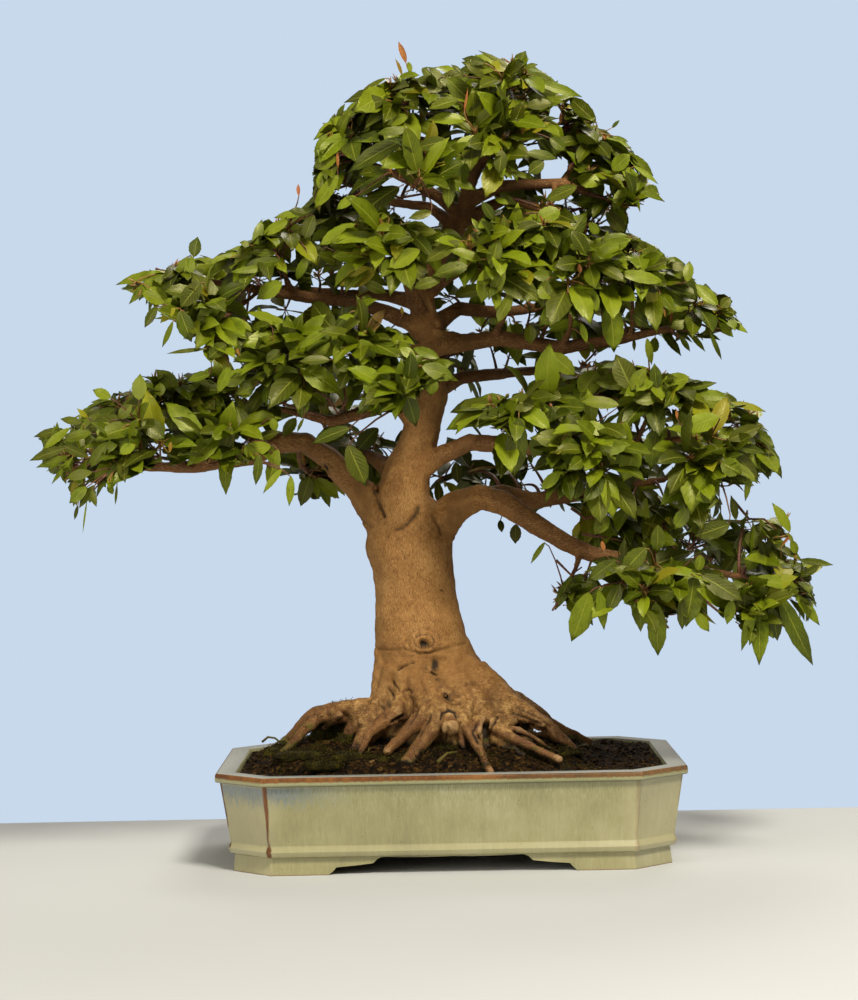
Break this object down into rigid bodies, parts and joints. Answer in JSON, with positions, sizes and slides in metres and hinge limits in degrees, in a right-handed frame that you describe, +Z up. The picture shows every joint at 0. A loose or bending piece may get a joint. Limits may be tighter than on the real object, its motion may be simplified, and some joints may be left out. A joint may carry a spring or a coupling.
{
  "type": "blueberry ash bonsai",
  "caption": "Broad-leaved bonsai tree with a flared trunk, surface roots, long side limbs and leafy sprays, growing in soil in an octagonal glazed pot with cloud-cut feet.",
  "frame": {"origin": "middle of the outer box of the tree and its pot, on the plane that the pot's feet stand on", "axes": "+Z up, the tree's front faces -Y, +X to the right as seen from the front"},
  "size_m": [0.8548, 0.4318, 0.853],
  "materials": {
    "glaze": "gloss",
    "soil": "matte",
    "bark": "matte",
    "leaf": "satin",
    "drain_mesh": "matte",
    "moss": "matte",
    "shoot": "satin",
    "dry_leaf": "matte"
  },
  "bodies": {
    "root": {"pot": "glaze", "drain_mesh_left": "drain_mesh", "drain_mesh_right": "drain_mesh", "soil": "soil", "trunk": "bark", "spray_01": "leaf", "spray_02": "leaf", "spray_03": "leaf", "spray_04": "leaf", "spray_05": "leaf", "spray_06": "leaf", "spray_07": "leaf", "spray_08": "leaf", "spray_09": "leaf", "spray_10": "leaf", "spray_11": "leaf", "spray_12": "leaf", "spray_13": "leaf", "spray_14": "leaf", "spray_15": "leaf", "spray_16": "leaf", "spray_17": "leaf", "spray_18": "leaf", "spray_19": "leaf", "spray_20": "leaf", "spray_21": "leaf", "spray_22": "leaf", "spray_23": "leaf", "spray_24": "leaf", "spray_25": "leaf", "spray_26": "leaf", "spray_27": "leaf", "spray_28": "leaf", "spray_29": "leaf", "spray_30": "leaf", "spray_31": "leaf", "spray_32": "leaf", "spray_33": "leaf", "spray_34": "leaf", "spray_35": "leaf", "spray_36": "leaf", "spray_37": "leaf", "spray_38": "leaf", "spray_39": "leaf", "spray_40": "leaf", "spray_41": "leaf", "spray_42": "leaf", "spray_43": "leaf", "spray_44": "leaf", "spray_45": "leaf", "spray_46": "leaf", "spray_47": "leaf", "spray_48": "leaf", "spray_49": "leaf", "spray_50": "leaf", "spray_51": "leaf", "spray_52": "leaf", "spray_53": "leaf", "spray_54": "leaf", "spray_55": "leaf"}
  },
  "joints": []
}
